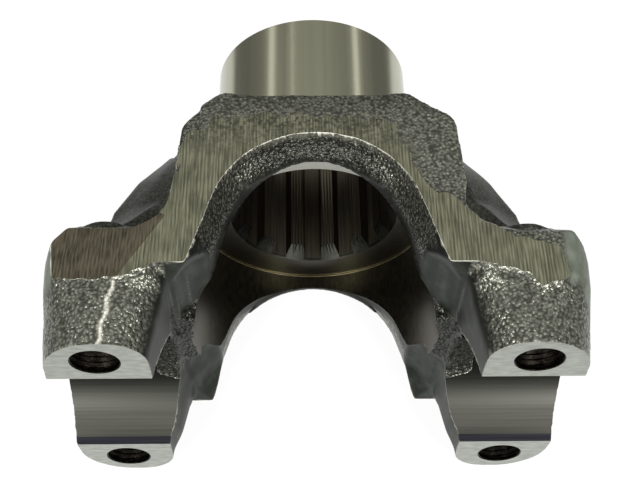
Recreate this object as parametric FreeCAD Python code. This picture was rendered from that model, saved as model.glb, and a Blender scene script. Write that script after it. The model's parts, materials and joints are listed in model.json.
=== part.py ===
import FreeCAD
import Part
import math
import os

# A forged steel yoke flange for the pinion of a differential, made from one piece.
# X runs along the joint's trunnions, Y along the hub's axis and away from the ears, and Z is up.
# The origin is the point where the hub's axis crosses the axis of the two bearing-cup saddles.
# The forging is the same on both sides of X = 0 and of Z = 0. All sizes are in millimetres.

# Bearing-cup saddles and the bolts of their straps
cup_diameter = 30.2
saddle_edge_break = 0.5
saddle_lead_depth = 1.4
bolt_pitch_x = 77.0
bolt_pitch_z = 44.4
bolt_tap_drill = 8.5
bolt_mouth_diameter = 9.0
bolt_hole_depth = 22.0
drill_point_half_angle = 59.0

# Ears, measured at their machined end faces, which lie in the saddles' axis
ear_gap = 58.8
ear_span = 98.8
ear_height = 58.6
ear_inner_corner_radius = 7.5
ear_outer_corner_radius = 10.5
ear_outer_draft = 9.0
ear_outer_rear_draft = 3.5
ear_inner_draft = 9.5
ear_side_draft = 5.0
ear_front_length = 11.5
ear_front_height = 59.4
ear_step_length = 2.0
ear_crown_height = 62.4
ear_full_depth = 21.6
ear_back_depth = 30.0
ear_back_height = 38.0
ear_corner_start_depth = 18.0
ear_corner_width = 100.8
ear_corner_depth = 21.6
ear_back_width = 93.0
ear_back_corner_depth = 25.5

# Flats sheared and milled on the top and bottom of the forging
flat_to_flat = 59.6
ledge_depth = 15.6
forging_draft = 4.0

# Root block between the arms and the hub
root_front_width = 54.0
root_rear_width = 51.4
root_side_depth = 47.6
root_end_width = 35.6
root_depth = 53.3
root_waist_depth = 26.0
root_waist_radius = 6.0
root_side_radius = 4.0
root_end_radius = 5.0
arm_reach = 43.0
arm_rear_depth = 18.0
arm_corner_radius = 3.0

# Shoulders that spread from the hub to the ears at mid height
shoulder_rear_width = 57.0
shoulder_rear_depth = 49.5
shoulder_corner_width = 69.0
shoulder_corner_depth = 43.4
shoulder_side_width = 77.4
shoulder_side_depth = 36.4
shoulder_notch_width = 79.4
shoulder_notch_depth = 32.5
shoulder_ear_width = 90.0
shoulder_ear_depth = 27.0
shoulder_ear_radius = 4.0
shoulder_edge_height = 28.0
shoulder_draft = 8.0

# Lines above and below, where the shoulders run out into the root block and the ears' backs
runout_ear_width = 88.0
runout_ear_depth = 26.0
runout_arm_width = 70.0
runout_arm_depth = 29.0
runout_root_width = 57.0
runout_root_depth = 34.0
runout_side_width = 55.0
runout_side_depth = 38.4
runout_end_width = 51.4
runout_end_depth = 44.4
runout_height = 44.0

# Throat between the arms: a round crown with flaring sides, and a bell mouth at both flats
throat_mouth_depth = -5.0
throat_radius = 19.8
throat_crown_depth = 44.4
throat_flare = 17.0
throat_waist_radius = 19.0
throat_waist_crown_depth = 41.0
bell_mouth_height = 6.7

# Scooped clearance beside each ear, for the seals of the joint's cross
scoop_radius = 13.2
scoop_centre_x = 14.2
scoop_centre_depth = 9.5
scoop_end_radius = 10.6
pad_width = 16.0

# Seat for the pinion nut, and the splined bore
nut_seat_diameter = 48.8
nut_seat_depth = 44.3
bore_mouth_diameter = 35.3
bore_chamfer_length = 2.8
spline_teeth = 14
spline_minor_diameter = 31.0
spline_major_diameter = 34.6
spline_tooth_root_share = 0.58
spline_tooth_tip_share = 0.40

# Hub, ground on the outside for the pinion seal
hub_diameter = 42.0
hub_end_depth = 82.0
hub_edge_chamfer = 0.8
hub_shoulder_diameter = 50.0
hub_shoulder_depth = 56.4

# Overrun of cutting tools past the faces that they cut
overrun = 1.0


def vector(x, y, z):
    return FreeCAD.Vector(x, y, z)


def rounded_wire(corners, place):
    """Closed wire through corners (u, v, radius), where place turns u and v into a point."""
    spans = []
    for index, (u, v, radius) in enumerate(corners):
        before = corners[index - 1]
        after = corners[(index + 1) % len(corners)]
        here = vector(u, v, 0)
        back = (vector(before[0], before[1], 0) - here).normalize()
        ahead = (vector(after[0], after[1], 0) - here).normalize()
        half = back.getAngle(ahead) / 2
        reach = radius / math.tan(half)
        start = here + back * reach
        end = here + ahead * reach
        middle = here + (back + ahead).normalize() * (radius / math.sin(half) - radius)
        spans.append((start, middle, end, radius))
    edges = []
    for index, (start, middle, end, radius) in enumerate(spans):
        previous_end = spans[index - 1][2]
        edges.append(Part.makeLine(place(previous_end.x, previous_end.y), place(start.x, start.y)))
        if radius > 0:
            arc = Part.Arc(place(start.x, start.y), place(middle.x, middle.y), place(end.x, end.y))
            edges.append(arc.toShape())
    return Part.Wire(edges)


def plan_wire(corners, height):
    """Wire in the plan, seen from above, at one height."""
    return rounded_wire(corners, lambda x, y: vector(x, y, height))


def mirrored_across_x(half_corners):
    """Whole outline from the corners of its +X half, listed from front to rear."""
    other_half = [(-x, y, radius) for x, y, radius in reversed(half_corners)]
    return half_corners + other_half


def loft(wires):
    """Solid ruled through the wires in order."""
    return Part.makeLoft(wires, True, True)


def with_mirror_z(solid):
    """The solid and its mirror image below Z = 0, as one."""
    return solid.fuse(solid.mirror(vector(0, 0, 0), vector(0, 0, 1)))


def ear_inner(depth):
    """Distance of an ear's inner side from X = 0 at one depth."""
    return ear_gap / 2 - depth * math.tan(math.radians(ear_inner_draft))


def ear_outer(depth):
    """Distance of an ear's outer side from X = 0 at one depth, at mid height."""
    front = min(depth, ear_front_length)
    rear = depth - front
    spread = front * math.tan(math.radians(ear_outer_draft))
    return ear_span / 2 + spread + rear * math.tan(math.radians(ear_outer_rear_draft))


def ear_section(side, depth, height):
    """Section of an ear at one depth."""
    inner = ear_inner(depth)
    outer = ear_outer(depth)
    top = height / 2
    narrow = outer - top * math.tan(math.radians(ear_side_draft))
    corners = [
        (side * inner, -top, ear_inner_corner_radius),
        (side * narrow, -top, ear_outer_corner_radius),
        (side * outer, 0.0, 0.0),
        (side * narrow, top, ear_outer_corner_radius),
        (side * inner, top, ear_inner_corner_radius),
    ]
    return rounded_wire(corners, lambda x, z: vector(x, depth, z))


def ear_back_corner(side):
    """Cutter that rounds off an ear's outer rear corner in two drafted flats."""
    past = ear_back_depth + overrun
    start = ear_outer(ear_corner_start_depth)
    wide = start + ear_back_depth
    outline = [
        (start, ear_corner_start_depth),
        (ear_corner_width / 2, ear_corner_depth),
        (ear_back_width / 2, ear_back_corner_depth),
        (ear_back_width / 2, past),
        (wide, past),
        (wide, ear_corner_start_depth),
        (start, ear_corner_start_depth),
    ]
    top = ear_crown_height / 2 + overrun
    wires = []
    for height in (0, top):
        lean = height * math.tan(math.radians(ear_side_draft))
        wires.append(Part.makePolygon([vector(side * (x - lean), y, height) for x, y in outline]))
    return with_mirror_z(loft(wires))


def ear_back_fall():
    """Wedge that makes the crown of both ears fall away behind, above mid height."""
    past = ear_back_depth + overrun
    outline = [
        (ear_full_depth, ear_crown_height / 2),
        (ear_back_depth, ear_back_height / 2),
        (past, ear_back_height / 2),
        (past, ear_crown_height),
        (ear_full_depth, ear_crown_height),
        (ear_full_depth, ear_crown_height / 2),
    ]
    face = Part.Face(Part.makePolygon([vector(-ear_span, y, z) for y, z in outline]))
    return face.extrude(vector(2 * ear_span, 0, 0))


def ear(side):
    """One ear: a drafted bar with rounded corners, stepped up to a crown that falls away behind."""
    bar = loft([
        ear_section(side, 0.0, ear_height),
        ear_section(side, ear_front_length, ear_front_height),
        ear_section(side, ear_front_length + ear_step_length, ear_crown_height),
        ear_section(side, ear_back_depth, ear_crown_height),
    ])
    return bar.cut([with_mirror_z(ear_back_fall()), ear_back_corner(side)])


def root_outline(growth):
    """Plan of the root block and its arms, grown outward by the forging draft."""
    return mirrored_across_x([
        (arm_reach + growth, ledge_depth, 0.0),
        (arm_reach + growth, arm_rear_depth + growth, arm_corner_radius),
        (root_front_width / 2 + growth, root_waist_depth + growth, root_waist_radius),
        (root_rear_width / 2 + growth, root_side_depth + growth, root_side_radius),
        (root_end_width / 2 + growth, root_depth + growth, root_end_radius),
    ])


def root_block():
    """Root block and arms, widest at mid height."""
    top = flat_to_flat / 2
    growth = top * math.tan(math.radians(forging_draft))
    upper_half = loft([plan_wire(root_outline(growth), 0), plan_wire(root_outline(0), top)])
    return with_mirror_z(upper_half)


def shoulder_outline(growth):
    """Plan of the shoulders at their rounded edge, grown outward by their draft."""
    side = shoulder_ear_width / 2 + growth
    return mirrored_across_x([
        (side, ledge_depth, 0.0),
        (side, shoulder_ear_depth + growth, shoulder_ear_radius),
        (shoulder_notch_width / 2 + growth, shoulder_notch_depth + growth, 0.0),
        (shoulder_side_width / 2 + growth, shoulder_side_depth + growth, 0.0),
        (shoulder_corner_width / 2 + growth, shoulder_corner_depth + growth, 0.0),
        (shoulder_rear_width / 2 + growth, shoulder_rear_depth + growth, 0.0),
    ])


def shoulder_runout():
    """Plan of the line where the shoulders run out."""
    return mirrored_across_x([
        (runout_ear_width / 2, ledge_depth, 0.0),
        (runout_ear_width / 2, runout_ear_depth, shoulder_ear_radius),
        (runout_arm_width / 2, runout_arm_depth, 0.0),
        (runout_root_width / 2, runout_root_depth, 0.0),
        (runout_side_width / 2, runout_side_depth, 0.0),
        (runout_end_width / 2, runout_end_depth, 0.0),
    ])


def shoulders():
    """Shoulders at mid height, which slope up into the root block and the backs of the ears."""
    edge = shoulder_edge_height / 2
    growth = edge * math.tan(math.radians(shoulder_draft))
    upper_half = loft([
        plan_wire(shoulder_outline(growth), 0),
        plan_wire(shoulder_outline(0), edge),
        plan_wire(shoulder_runout(), runout_height / 2),
    ])
    return with_mirror_z(upper_half)


def throat_wire(radius, crown_depth, height):
    """U-shaped plan of the throat: a round crown whose sides flare toward the ears' ends."""
    flare = math.radians(throat_flare)
    centre = crown_depth - radius
    touch_x = radius * math.cos(flare)
    touch_y = centre + radius * math.sin(flare)
    mouth_x = touch_x + (touch_y - throat_mouth_depth) * math.tan(flare)
    right = vector(touch_x, touch_y, height)
    left = vector(-touch_x, touch_y, height)
    crown = Part.Arc(right, vector(0, crown_depth, height), left).toShape()
    mouth_right = vector(mouth_x, throat_mouth_depth, height)
    mouth_left = vector(-mouth_x, throat_mouth_depth, height)
    return Part.Wire([
        Part.makeLine(mouth_right, right),
        crown,
        Part.makeLine(left, mouth_left),
        Part.makeLine(mouth_left, mouth_right),
    ])


def waist_top():
    """Height where the throat's straight waist ends and its bell mouth starts."""
    return flat_to_flat / 2 - bell_mouth_height


def throat():
    """Opening between the arms, narrow at mid height, with a bell mouth at each flat."""
    waist_wire = throat_wire(throat_waist_radius, throat_waist_crown_depth, 0)
    core = Part.Face(waist_wire).extrude(vector(0, 0, waist_top()))
    past = 1 + overrun / bell_mouth_height
    over_crown = throat_waist_crown_depth + (throat_crown_depth - throat_waist_crown_depth) * past
    over_radius = throat_waist_radius + (throat_radius - throat_waist_radius) * past
    mouth = loft([
        throat_wire(throat_waist_radius, throat_waist_crown_depth, waist_top()),
        throat_wire(over_radius, over_crown, flat_to_flat / 2 + overrun),
    ])
    return with_mirror_z(core.fuse(mouth))


def forging():
    """The blank as it leaves the hammer, with its flats sheared."""
    blank = root_block().fuse([shoulders()]).cut(throat())
    blank = blank.fuse([ear(1), ear(-1)])
    reach = ear_span + hub_end_depth
    corner = vector(-reach, -reach, -flat_to_flat / 2)
    return blank.common(Part.makeBox(2 * reach, 2 * reach, flat_to_flat, corner))


def hub():
    """Hub with the shoulder that a dust slinger seats on, and a chamfered end."""
    radius = hub_diameter / 2
    profile = [
        (0, nut_seat_depth),
        (hub_shoulder_diameter / 2, nut_seat_depth),
        (hub_shoulder_diameter / 2, hub_shoulder_depth),
        (radius, hub_shoulder_depth),
        (radius, hub_end_depth - hub_edge_chamfer),
        (radius - hub_edge_chamfer, hub_end_depth),
        (0, hub_end_depth),
        (0, nut_seat_depth),
    ]
    face = Part.Face(Part.makePolygon([vector(x, y, 0) for x, y in profile]))
    return face.revolve(vector(0, 0, 0), vector(0, 1, 0), 360)


def along_y(diameter, start, end):
    """Cylinder on the hub's axis between two depths."""
    return Part.makeCylinder(diameter / 2, end - start, vector(0, start, 0), vector(0, 1, 0))


def nut_seat():
    """Flat seat of the pinion nut, cut with a cylindrical wall from the throat's side."""
    return along_y(nut_seat_diameter, ledge_depth, nut_seat_depth)


def spline_gap(index):
    """Gap between two teeth of the internal spline, the first at the bottom of the bore."""
    pitch = 2 * math.pi / spline_teeth
    tip = spline_minor_diameter / 2
    inner = tip - overrun
    outer = spline_major_diameter / 2
    tip_half = pitch * (1 - spline_tooth_tip_share) / 2
    root_half = pitch * (1 - spline_tooth_root_share) / 2
    centre = -math.pi / 2 + index * pitch
    start = nut_seat_depth - overrun

    def point(radius, angle):
        return vector(radius * math.cos(centre + angle), start, radius * math.sin(centre + angle))

    floor = Part.Arc(point(outer, root_half), point(outer, 0), point(outer, -root_half)).toShape()
    wire = Part.Wire([
        Part.makeLine(point(inner, -tip_half), point(tip, -tip_half)),
        Part.makeLine(point(tip, -tip_half), point(outer, -root_half)),
        floor,
        Part.makeLine(point(outer, root_half), point(tip, tip_half)),
        Part.makeLine(point(tip, tip_half), point(inner, tip_half)),
        Part.makeLine(point(inner, tip_half), point(inner, -tip_half)),
    ])
    return Part.Face(wire).extrude(vector(0, hub_end_depth + overrun - start, 0))


def splined_bore():
    """Bore with straight-sided teeth and a cone at its mouth."""
    bore = along_y(spline_minor_diameter, nut_seat_depth - overrun, hub_end_depth + overrun)
    gaps = [spline_gap(index) for index in range(spline_teeth)]
    cone = Part.makeCone(
        bore_mouth_diameter / 2,
        spline_minor_diameter / 2,
        bore_chamfer_length,
        vector(0, nut_seat_depth, 0),
        vector(0, 1, 0),
    )
    return bore.fuse(gaps + [cone])


def saddles():
    """Half-round seats of the two bearing cups, one cut along X, with broken edges."""
    length = 2 * ear_span
    radius = cup_diameter / 2
    start = vector(-length / 2, 0, 0)
    groove = Part.makeCylinder(radius, length, start, vector(1, 0, 0))
    edge = radius + saddle_edge_break
    lead_half = math.sqrt(radius ** 2 - saddle_lead_depth ** 2)
    lead = [
        (-overrun, -edge),
        (0.0, -edge),
        (saddle_lead_depth, -lead_half),
        (saddle_lead_depth, lead_half),
        (0.0, edge),
        (-overrun, edge),
        (-overrun, -edge),
    ]
    face = Part.Face(Part.makePolygon([start + vector(0, y, z) for y, z in lead]))
    return groove.fuse(face.extrude(vector(length, 0, 0)))


def bolt_hole(x, z):
    """Tapping hole from an end face, with a countersunk mouth and a drill's conical end."""
    drill = bolt_tap_drill / 2
    mouth = bolt_mouth_diameter / 2
    point = drill / math.tan(math.radians(drill_point_half_angle))
    profile = [
        (0, -overrun),
        (mouth, -overrun),
        (mouth, 0),
        (drill, mouth - drill),
        (drill, bolt_hole_depth),
        (0, bolt_hole_depth + point),
        (0, -overrun),
    ]
    face = Part.Face(Part.makePolygon([vector(x + u, y, z) for u, y in profile]))
    return face.revolve(vector(x, 0, z), vector(0, 1, 0), 360)


def bolt_holes():
    """The four holes at the corners of their pattern."""
    return [
        bolt_hole(sx * bolt_pitch_x / 2, sz * bolt_pitch_z / 2)
        for sx in (-1, 1)
        for sz in (-1, 1)
    ]


def seal_scoops():
    """Four scoops in the arms' inner corners, from a middle pad out to where they taper to the flats."""
    upward = vector(0, 0, 1)
    scoops = []
    for side in (-1, 1):
        for turn in (-1, 1):
            direction = upward * turn
            foot = vector(side * scoop_centre_x, scoop_centre_depth, turn * pad_width / 2)
            shoulder = vector(side * scoop_centre_x, scoop_centre_depth, turn * waist_top())
            height = waist_top() - pad_width / 2
            cylinder = Part.makeCylinder(scoop_radius, height, foot, direction)
            taper = Part.makeCone(scoop_radius, scoop_end_radius, bell_mouth_height, shoulder, direction)
            scoops.append(cylinder.fuse(taper))
    return scoops


def yoke_flange():
    """The forging with its hub and every machined surface."""
    body = forging().fuse([hub()])
    cuts = [nut_seat(), splined_bore(), saddles()] + bolt_holes() + seal_scoops()
    return body.cut(cuts).removeSplitter()


os.makedirs("parts", exist_ok=True)
flange = yoke_flange()
print("valid", flange.isValid(), "solids", len(flange.Solids), "volume", round(flange.Volume))
flange.Solids[0].exportStep("parts/yoke_flange.step")
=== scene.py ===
# %% [markdown]
# # A forged steel yoke flange, dressed over its solid
#
# The real part starts as a bar of steel that is hammered between two dies. The blank is
# shot-blasted, its flats are sheared, and then the ear ends, the saddles, the nut seat, the bore
# and the hub are machined. This lesson works in the same order. A rough blank is made from the
# solid, it gets its blasted skin, and after that every cutting tool goes through it and leaves a
# finish of its own.

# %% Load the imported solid
import json
import math
from itertools import product

import bmesh
import bpy
import numpy as np
from mathutils import Matrix, Vector, noise
from mathutils.kdtree import KDTree


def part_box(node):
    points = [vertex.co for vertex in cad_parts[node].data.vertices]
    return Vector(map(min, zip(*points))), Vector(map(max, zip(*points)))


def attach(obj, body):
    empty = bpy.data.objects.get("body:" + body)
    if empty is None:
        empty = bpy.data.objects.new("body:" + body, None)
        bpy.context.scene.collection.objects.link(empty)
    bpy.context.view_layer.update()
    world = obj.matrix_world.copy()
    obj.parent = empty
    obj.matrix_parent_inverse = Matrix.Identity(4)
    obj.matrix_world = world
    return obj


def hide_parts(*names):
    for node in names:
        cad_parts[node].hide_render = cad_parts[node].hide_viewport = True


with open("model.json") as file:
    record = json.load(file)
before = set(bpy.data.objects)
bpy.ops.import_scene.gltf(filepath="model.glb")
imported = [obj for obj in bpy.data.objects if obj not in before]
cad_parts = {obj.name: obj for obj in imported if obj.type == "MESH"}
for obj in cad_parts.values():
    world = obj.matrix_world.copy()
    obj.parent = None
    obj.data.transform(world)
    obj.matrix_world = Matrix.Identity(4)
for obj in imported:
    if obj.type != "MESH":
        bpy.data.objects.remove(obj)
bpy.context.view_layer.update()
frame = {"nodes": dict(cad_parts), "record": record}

# %% [markdown]
# Every size below is in millimetres, because that is how the part is drawn. Blender's scene is in
# metres, so the finished piece is scaled once, at the end. The sizes that other parts have to fit
# come from the record's mounts.

# %% Sizes
MM = 0.001
mounts = {mount["name"]: mount for mount in frame["record"]["mounts"]}

saddle_radius = mounts["cup_saddles"]["dims"]["r_mm"]
bolt_half_x = mounts["strap_bolts"]["dims"]["spacing_x_mm"] / 2
bolt_half_z = mounts["strap_bolts"]["dims"]["spacing_y_mm"] / 2
tap_radius = mounts["strap_bolts"]["dims"]["hole_r_mm"]
hub_radius = mounts["seal_journal"]["dims"]["r_mm"]
tooth_tip_radius = mounts["pinion_spline"]["dims"]["r_mm"]
nut_seat_depth = mounts["nut_seat"]["pos_m"][1] / MM
hub_end_depth = mounts["hub_end"]["pos_m"][1] / MM
flat_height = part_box("yoke_flange")[1][2] / MM

saddle_lead_depth = 1.4
saddle_edge_break = 0.5
nut_wall_radius = 24.4
nut_wall_start = 15.6
hub_shoulder_radius = 25.0
hub_shoulder_depth = 56.4
root_end_depth = 55.9
hub_edge_chamfer = 0.8
tooth_root_radius = 17.3
bore_mouth_radius = 17.65
bore_chamfer_length = 2.8
spline_teeth = 14
tooth_root_share = 0.58
tooth_tip_share = 0.40
scoop_radius = 13.2
scoop_x = 14.2
scoop_depth = 9.5
scoop_foot = 7.8
pad_reach = 32.0
waist_height = 23.1
throat_centre = 24.6
overrun = 1.0
print("flats at", round(flat_height, 2), "nut seat at", round(nut_seat_depth, 2))

# %% [markdown]
# A few helpers keep the later cells short: one makes an object from plain lists, one turns a
# profile round an axis as a lathe would, and two read and write all the points of a mesh at once.

# %% Helpers for meshes


def mesh_object(name, points, faces):
    mesh = bpy.data.meshes.new(name)
    mesh.from_pydata([tuple(point) for point in points], [], faces)
    mesh.update()
    piece = bpy.data.objects.new(name, mesh)
    bpy.context.scene.collection.objects.link(piece)
    return piece


def get_points(piece):
    flat = np.empty(len(piece.data.vertices) * 3)
    piece.data.vertices.foreach_get("co", flat)
    return flat.reshape(-1, 3)


def set_points(piece, points):
    piece.data.vertices.foreach_set("co", points.ravel())
    piece.data.update()


def get_normals(piece):
    flat = np.empty(len(piece.data.vertices) * 3)
    piece.data.vertex_normals.foreach_get("vector", flat)
    return flat.reshape(-1, 3)


def fade(values, start, end):
    """0 before start, 1 after end, smooth between them."""
    share = np.clip((values - start) / (end - start), 0.0, 1.0)
    return share * share * (3.0 - 2.0 * share)


def apply_modifiers(piece):
    """Turns the piece's modifiers into its mesh."""
    evaluated = piece.evaluated_get(bpy.context.evaluated_depsgraph_get())
    mesh = bpy.data.meshes.new_from_object(evaluated)
    piece.modifiers.clear()
    old = piece.data
    piece.data = mesh
    bpy.data.meshes.remove(old)


def lathe(name, profile, steps, centre=(0.0, 0.0), along="Y"):
    """Closed solid turned from (radius, depth) points that start and end on the axis."""
    points = [(0.0, profile[0][1], 0.0)]
    for radius, depth in profile[1:-1]:
        for step in range(steps):
            angle = 2.0 * math.pi * step / steps
            points.append((radius * math.cos(angle), depth, radius * math.sin(angle)))
    points.append((0.0, profile[-1][1], 0.0))
    last = len(points) - 1
    rings = len(profile) - 2
    faces = []
    for step in range(steps):
        after = (step + 1) % steps
        faces.append((0, 1 + step, 1 + after))
        for ring in range(rings - 1):
            low = 1 + ring * steps
            high = low + steps
            faces.append((low + step, high + step, high + after, low + after))
        top = 1 + (rings - 1) * steps
        faces.append((top + step, last, top + after))
    placed = []
    for x, y, z in points:
        if along == "X":
            placed.append((y, x, z))
        else:
            placed.append((x + centre[0], y, z + centre[1]))
    solid = mesh_object(name, placed, faces)
    outward(solid)
    return solid


def outward(solid):
    """Turns all faces of a closed solid outward."""
    work = bmesh.new()
    work.from_mesh(solid.data)
    bmesh.ops.recalc_face_normals(work, faces=work.faces)
    work.to_mesh(solid.data)
    work.free()


# %% [markdown]
# Colours are written as the hex values that an image editor shows, and one function turns them
# into the linear light that Blender calculates with. Another adds a shader node with its settings
# and links in one call. Two more mix colours and calculate with numbers, and they take a socket
# or a plain value for each input.

# %% Helpers for materials


def to_linear(hex_colour):
    channels = [int(hex_colour[place:place + 2], 16) / 255 for place in (1, 3, 5)]
    linear = [c / 12.92 if c <= 0.04045 else ((c + 0.055) / 1.055) ** 2.4 for c in channels]
    return (*linear, 1.0)


def add_node(tree, kind, settings=None, links=None):
    """Adds a node; settings name its properties or sockets, links name the sockets it takes."""
    node = tree.nodes.new(kind)
    for name, value in (settings or {}).items():
        if isinstance(name, str) and hasattr(node, name):
            setattr(node, name, value)
        else:
            node.inputs[name].default_value = value
    for name, source in (links or {}).items():
        tree.links.new(source, node.inputs[name])
    return node


def feed(tree, socket, value):
    """Links a socket to another one, or gives it a number or a hex colour."""
    if isinstance(value, str):
        socket.default_value = to_linear(value)
    elif isinstance(value, float):
        socket.default_value = value
    else:
        tree.links.new(value, socket)


def mix_colour(tree, share, first, second, blend="MIX"):
    """Mixes two colours, or multiplies them."""
    node = add_node(tree, "ShaderNodeMix", {"data_type": "RGBA", "blend_type": blend})
    for place, value in ((0, share), (6, first), (7, second)):
        feed(tree, node.inputs[place], value)
    return node.outputs[2]


def calculate(tree, operation, *values, clamp=False):
    """Result of one operation on numbers or sockets."""
    node = add_node(tree, "ShaderNodeMath", {"operation": operation, "use_clamp": clamp})
    for place, value in enumerate(values):
        feed(tree, node.inputs[place], value)
    return node.outputs[0]


def new_material(name):
    """An empty material and its node tree."""
    material = bpy.data.materials.new(name)
    material.use_nodes = True
    material.node_tree.nodes.clear()
    return material, material.node_tree


def finish_material(tree, shader):
    add_node(tree, "ShaderNodeOutputMaterial", links={"Surface": shader.outputs[0]})


# %% [markdown]
# ## The finishes that the tools leave
#
# Each finish is made before the tool that leaves it, because a Boolean cut can hand the tool's
# material to the faces that it cuts. All the machined finishes are bare steel, a metal, so they
# take much of their colour from what they mirror, and roughness and fine lines tell them apart. The
# saddles' broken edges, the nut seat's wall, the spline's countersink and the threads are painted
# dark as painted shade, and the nut seat's corner is painted pale as a painted highlight. The line
# patterns use the Object coordinate, which is in metres here, so a scale is one over the real
# spacing. The saddles and the nut seat also carry painted shade, darker towards the bottom of the
# saddle and on the lower half of the seat.

# %% Bare steel with cutting marks


def line_noise(tree, along, spacing_mm, stretch, detail=2.0):
    """Streaks that run along one axis: noise squeezed to the real spacing across it."""
    place = add_node(tree, "ShaderNodeTexCoord")
    scale = [1.0 / (spacing_mm * MM)] * 3
    scale["XYZ".index(along)] /= stretch
    links = {"Vector": place.outputs["Object"]}
    stretched = add_node(tree, "ShaderNodeMapping", {"Scale": scale}, links)
    links = {"Vector": stretched.outputs[0]}
    return add_node(tree, "ShaderNodeTexNoise", {"Scale": 1.0, "Detail": detail}, links)


def ramp(tree, source, stops):
    """Colour ramp from (position, hex colour) pairs."""
    node = add_node(tree, "ShaderNodeValToRGB", links={"Fac": source})
    elements = node.color_ramp.elements
    while len(elements) < len(stops):
        elements.new(0.5)
    for element, (position, colour) in zip(elements, stops):
        element.position = position
        element.color = to_linear(colour)
    return node


def spread(tree, source, low, high, from_low=0.3, from_high=0.7):
    """Turns a noise value into a range of roughness or height."""
    settings = {"From Min": from_low, "From Max": from_high, "To Min": low, "To Max": high}
    return add_node(tree, "ShaderNodeMapRange", settings, {"Value": source})


def cut_steel(name, along, spacing_mm, stretch, colours, roughness, bump_mm, shade_gradient=None):
    """Steel with a cutting tool's marks along one axis, and perhaps painted shade along another.

    The painted shade is given as the axis along which it changes and its (place in mm, hex tint)
    pairs.
    """
    material, tree = new_material(name)
    marks = line_noise(tree, along, spacing_mm, stretch)
    colour = ramp(tree, marks.outputs["Fac"], [(0.3, colours[0]), (0.7, colours[1])])
    rough = spread(tree, marks.outputs["Fac"], roughness[0], roughness[1])
    links = {"Height": marks.outputs["Fac"]}
    bump = add_node(tree, "ShaderNodeBump", {"Distance": bump_mm * MM}, links)
    base = colour.outputs[0]
    # Painted shade: a ramp along one axis multiplies the base colour darker.
    if shade_gradient:
        place = add_node(tree, "ShaderNodeTexCoord")
        parts = add_node(tree, "ShaderNodeSeparateXYZ", links={"Vector": place.outputs["Object"]})
        axis, shades = shade_gradient
        start, end = shades[0][0], shades[-1][0]
        depth = spread(tree, parts.outputs[axis], 0.0, 1.0, start * MM, end * MM)
        stops = [((at_mm - start) / (end - start), shade) for at_mm, shade in shades]
        tint = ramp(tree, depth.outputs[0], stops)
        base = mix_colour(tree, 1.0, base, tint.outputs[0], "MULTIPLY")
    links = {"Base Color": base, "Roughness": rough.outputs[0], "Normal": bump.outputs[0]}
    shader = add_node(tree, "ShaderNodeBsdfPrincipled", {"Metallic": 1.0}, links)
    finish_material(tree, shader)
    return material


# Painted shade: the saddles are painted darker the deeper they go in Y, towards the bottom of the
# saddle.
saddle_painted_shade = ("Y", [
    (0.0, "#ffffff"), (3.0, "#ececec"), (6.0, "#9a9a9a"),
    (9.0, "#747474"), (12.0, "#585858"), (15.1, "#464646"),
])
# Painted shade: the nut seat is painted darker on its lower half and lighter towards its top.
seat_painted_shade = ("Z", [(-22.0, "#76736d"), (-14.0, "#7c7973"), (10.0, "#e8e8e6"), (22.0, "#ffffff")])

milled_face = cut_steel(
    "milled steel end face", "X", 0.9, 3.0, ("#8f928a", "#b2b5ac"), (0.3, 0.4), 0.003)
bored_steel = cut_steel(
    "bored steel saddle with painted shade", "X", 0.35, 90.0, ("#7c7c74", "#84847c"), (0.42, 0.45), 0.001, saddle_painted_shade)
# Painted shade: the saddles' broken edges are painted nearly black.
broken_edge = cut_steel(
    "broken edge of the saddle in painted shade", "X", 0.35, 90.0, ("#26262c", "#34343a"), (0.3, 0.36), 0.002)
faced_seat = cut_steel(
    "faced steel nut seat with painted shade", "X", 0.6, 3.0, ("#9a9a92", "#a6a69e"), (0.3, 0.34), 0.0005, seat_painted_shade)
# Painted highlight: the narrow corner of the nut seat is painted pale cream.
corner_highlight = cut_steel(
    "corner of the nut seat with painted highlight", "Y", 0.6, 1.0, ("#d6c494", "#ecdfb8"), (0.35, 0.45), 0.002)
# Painted shade: the nut seat's turned wall is painted dark.
turned_wall = cut_steel(
    "turned wall of the nut seat in painted shade", "Y", 0.6, 3.0, ("#423f35", "#545042"), (0.34, 0.42), 0.002)
ground_steel = cut_steel(
    "ground steel hub", "Y", 1.4, 60.0, ("#a2a28e", "#aaaa96"), (0.16, 0.2), 0.0005)
broached_steel = cut_steel(
    "broached steel spline", "Y", 0.4, 60.0, ("#5a564c", "#6e685b"), (0.28, 0.36), 0.003)
# Painted shade: the countersink at the spline's mouth is painted nearly black.
countersunk = cut_steel(
    "countersunk mouth of the spline in painted shade", "X", 0.6, 3.0, ("#22221f", "#2c2c28"), (0.4, 0.5), 0.002)
# Painted shade: the threads and the bolt holes' countersinks are painted nearly black.
thread_steel = cut_steel(
    "tapped steel thread in painted shade", "Y", 0.5, 1.0, ("#100f0d", "#26231e"), (0.3, 0.4), 0.01)
print("machined finishes:", len(bpy.data.materials))

# %% [markdown]
# The shear drags chips over the two flats, so they are ruled with fine lines along the hub's axis,
# about 0.6 mm apart, as a file leaves them. A wave texture gives the even pitch, and noise makes
# the lines wander and change in depth. Towards the throat's crown the shear cut less deep, so
# dark pits of the forged skin are left there. The left ear's facet has the same lines in darker
# brown colours, as painted shade.

# %% Sheared steel with ruled lines
line_pitch_mm = 0.62
crown_start = 38.0
crown_end = 47.0
pit_mm = 0.7
pit_colour = "#484840"
patch_mm = 5.0
patch_share = 0.4
wave_periods = 2.0 * math.pi / 20.0


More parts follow.
